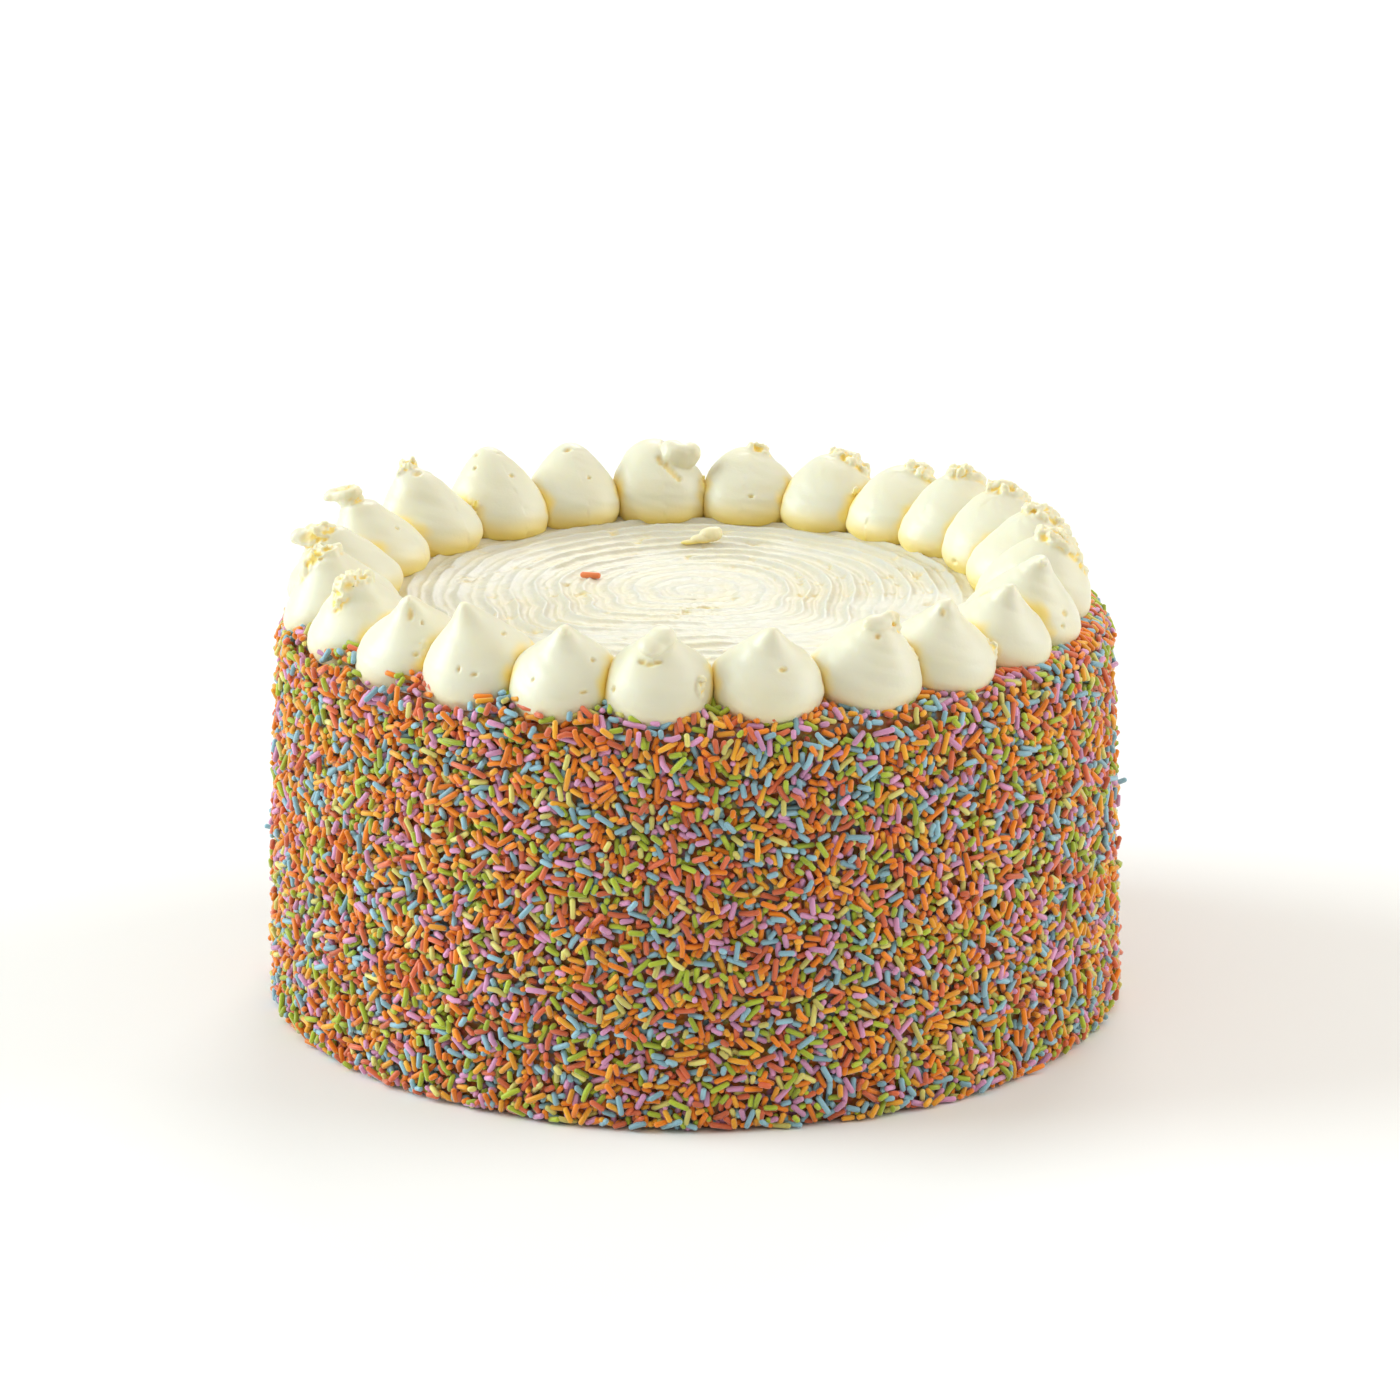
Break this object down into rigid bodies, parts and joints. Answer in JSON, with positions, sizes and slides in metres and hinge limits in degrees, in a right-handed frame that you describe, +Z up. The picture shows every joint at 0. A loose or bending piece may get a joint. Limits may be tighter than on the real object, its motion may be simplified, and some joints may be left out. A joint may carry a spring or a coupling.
{
  "type": "sprinkle cake",
  "caption": "uncut round layer cake with pastel rod sprinkles pressed all round its side, combed buttercream top and a ring of piped cream dollops",
  "frame": {"origin": "centre of the flat underside, at the level of what the cake stands on", "axes": "+Z up along the cake's axis, -Y towards the viewer of the picture, +X to the right"},
  "size_m": [0.212, 0.212, 0.1177],
  "materials": {
    "sprinkle_coat": "rod sprinkles of orange, green, light blue, lilac, coral and yellow, packed in several layers with a soft sugar sheen",
    "buttercream": "pale cream buttercream, combed into rings, with a soft satin sheen",
    "piped_cream": "smooth piped buttercream, warmer and yellower in its creases"
  },
  "bodies": {
    "root": {"sprinkled_cake": "sprinkle_coat", "top_icing": "buttercream", "cream_dab": "piped_cream", "dollop_01": "piped_cream", "dollop_02": "piped_cream", "dollop_03": "piped_cream", "dollop_04": "piped_cream", "dollop_05": "piped_cream", "dollop_06": "piped_cream", "dollop_07": "piped_cream", "dollop_08": "piped_cream", "dollop_09": "piped_cream", "dollop_10": "piped_cream", "dollop_11": "piped_cream", "dollop_12": "piped_cream", "dollop_13": "piped_cream", "dollop_14": "piped_cream", "dollop_15": "piped_cream", "dollop_16": "piped_cream", "dollop_17": "piped_cream", "dollop_18": "piped_cream", "dollop_19": "piped_cream", "dollop_20": "piped_cream", "dollop_21": "piped_cream", "dollop_22": "piped_cream", "dollop_23": "piped_cream", "dollop_24": "piped_cream"}
  },
  "joints": []
}
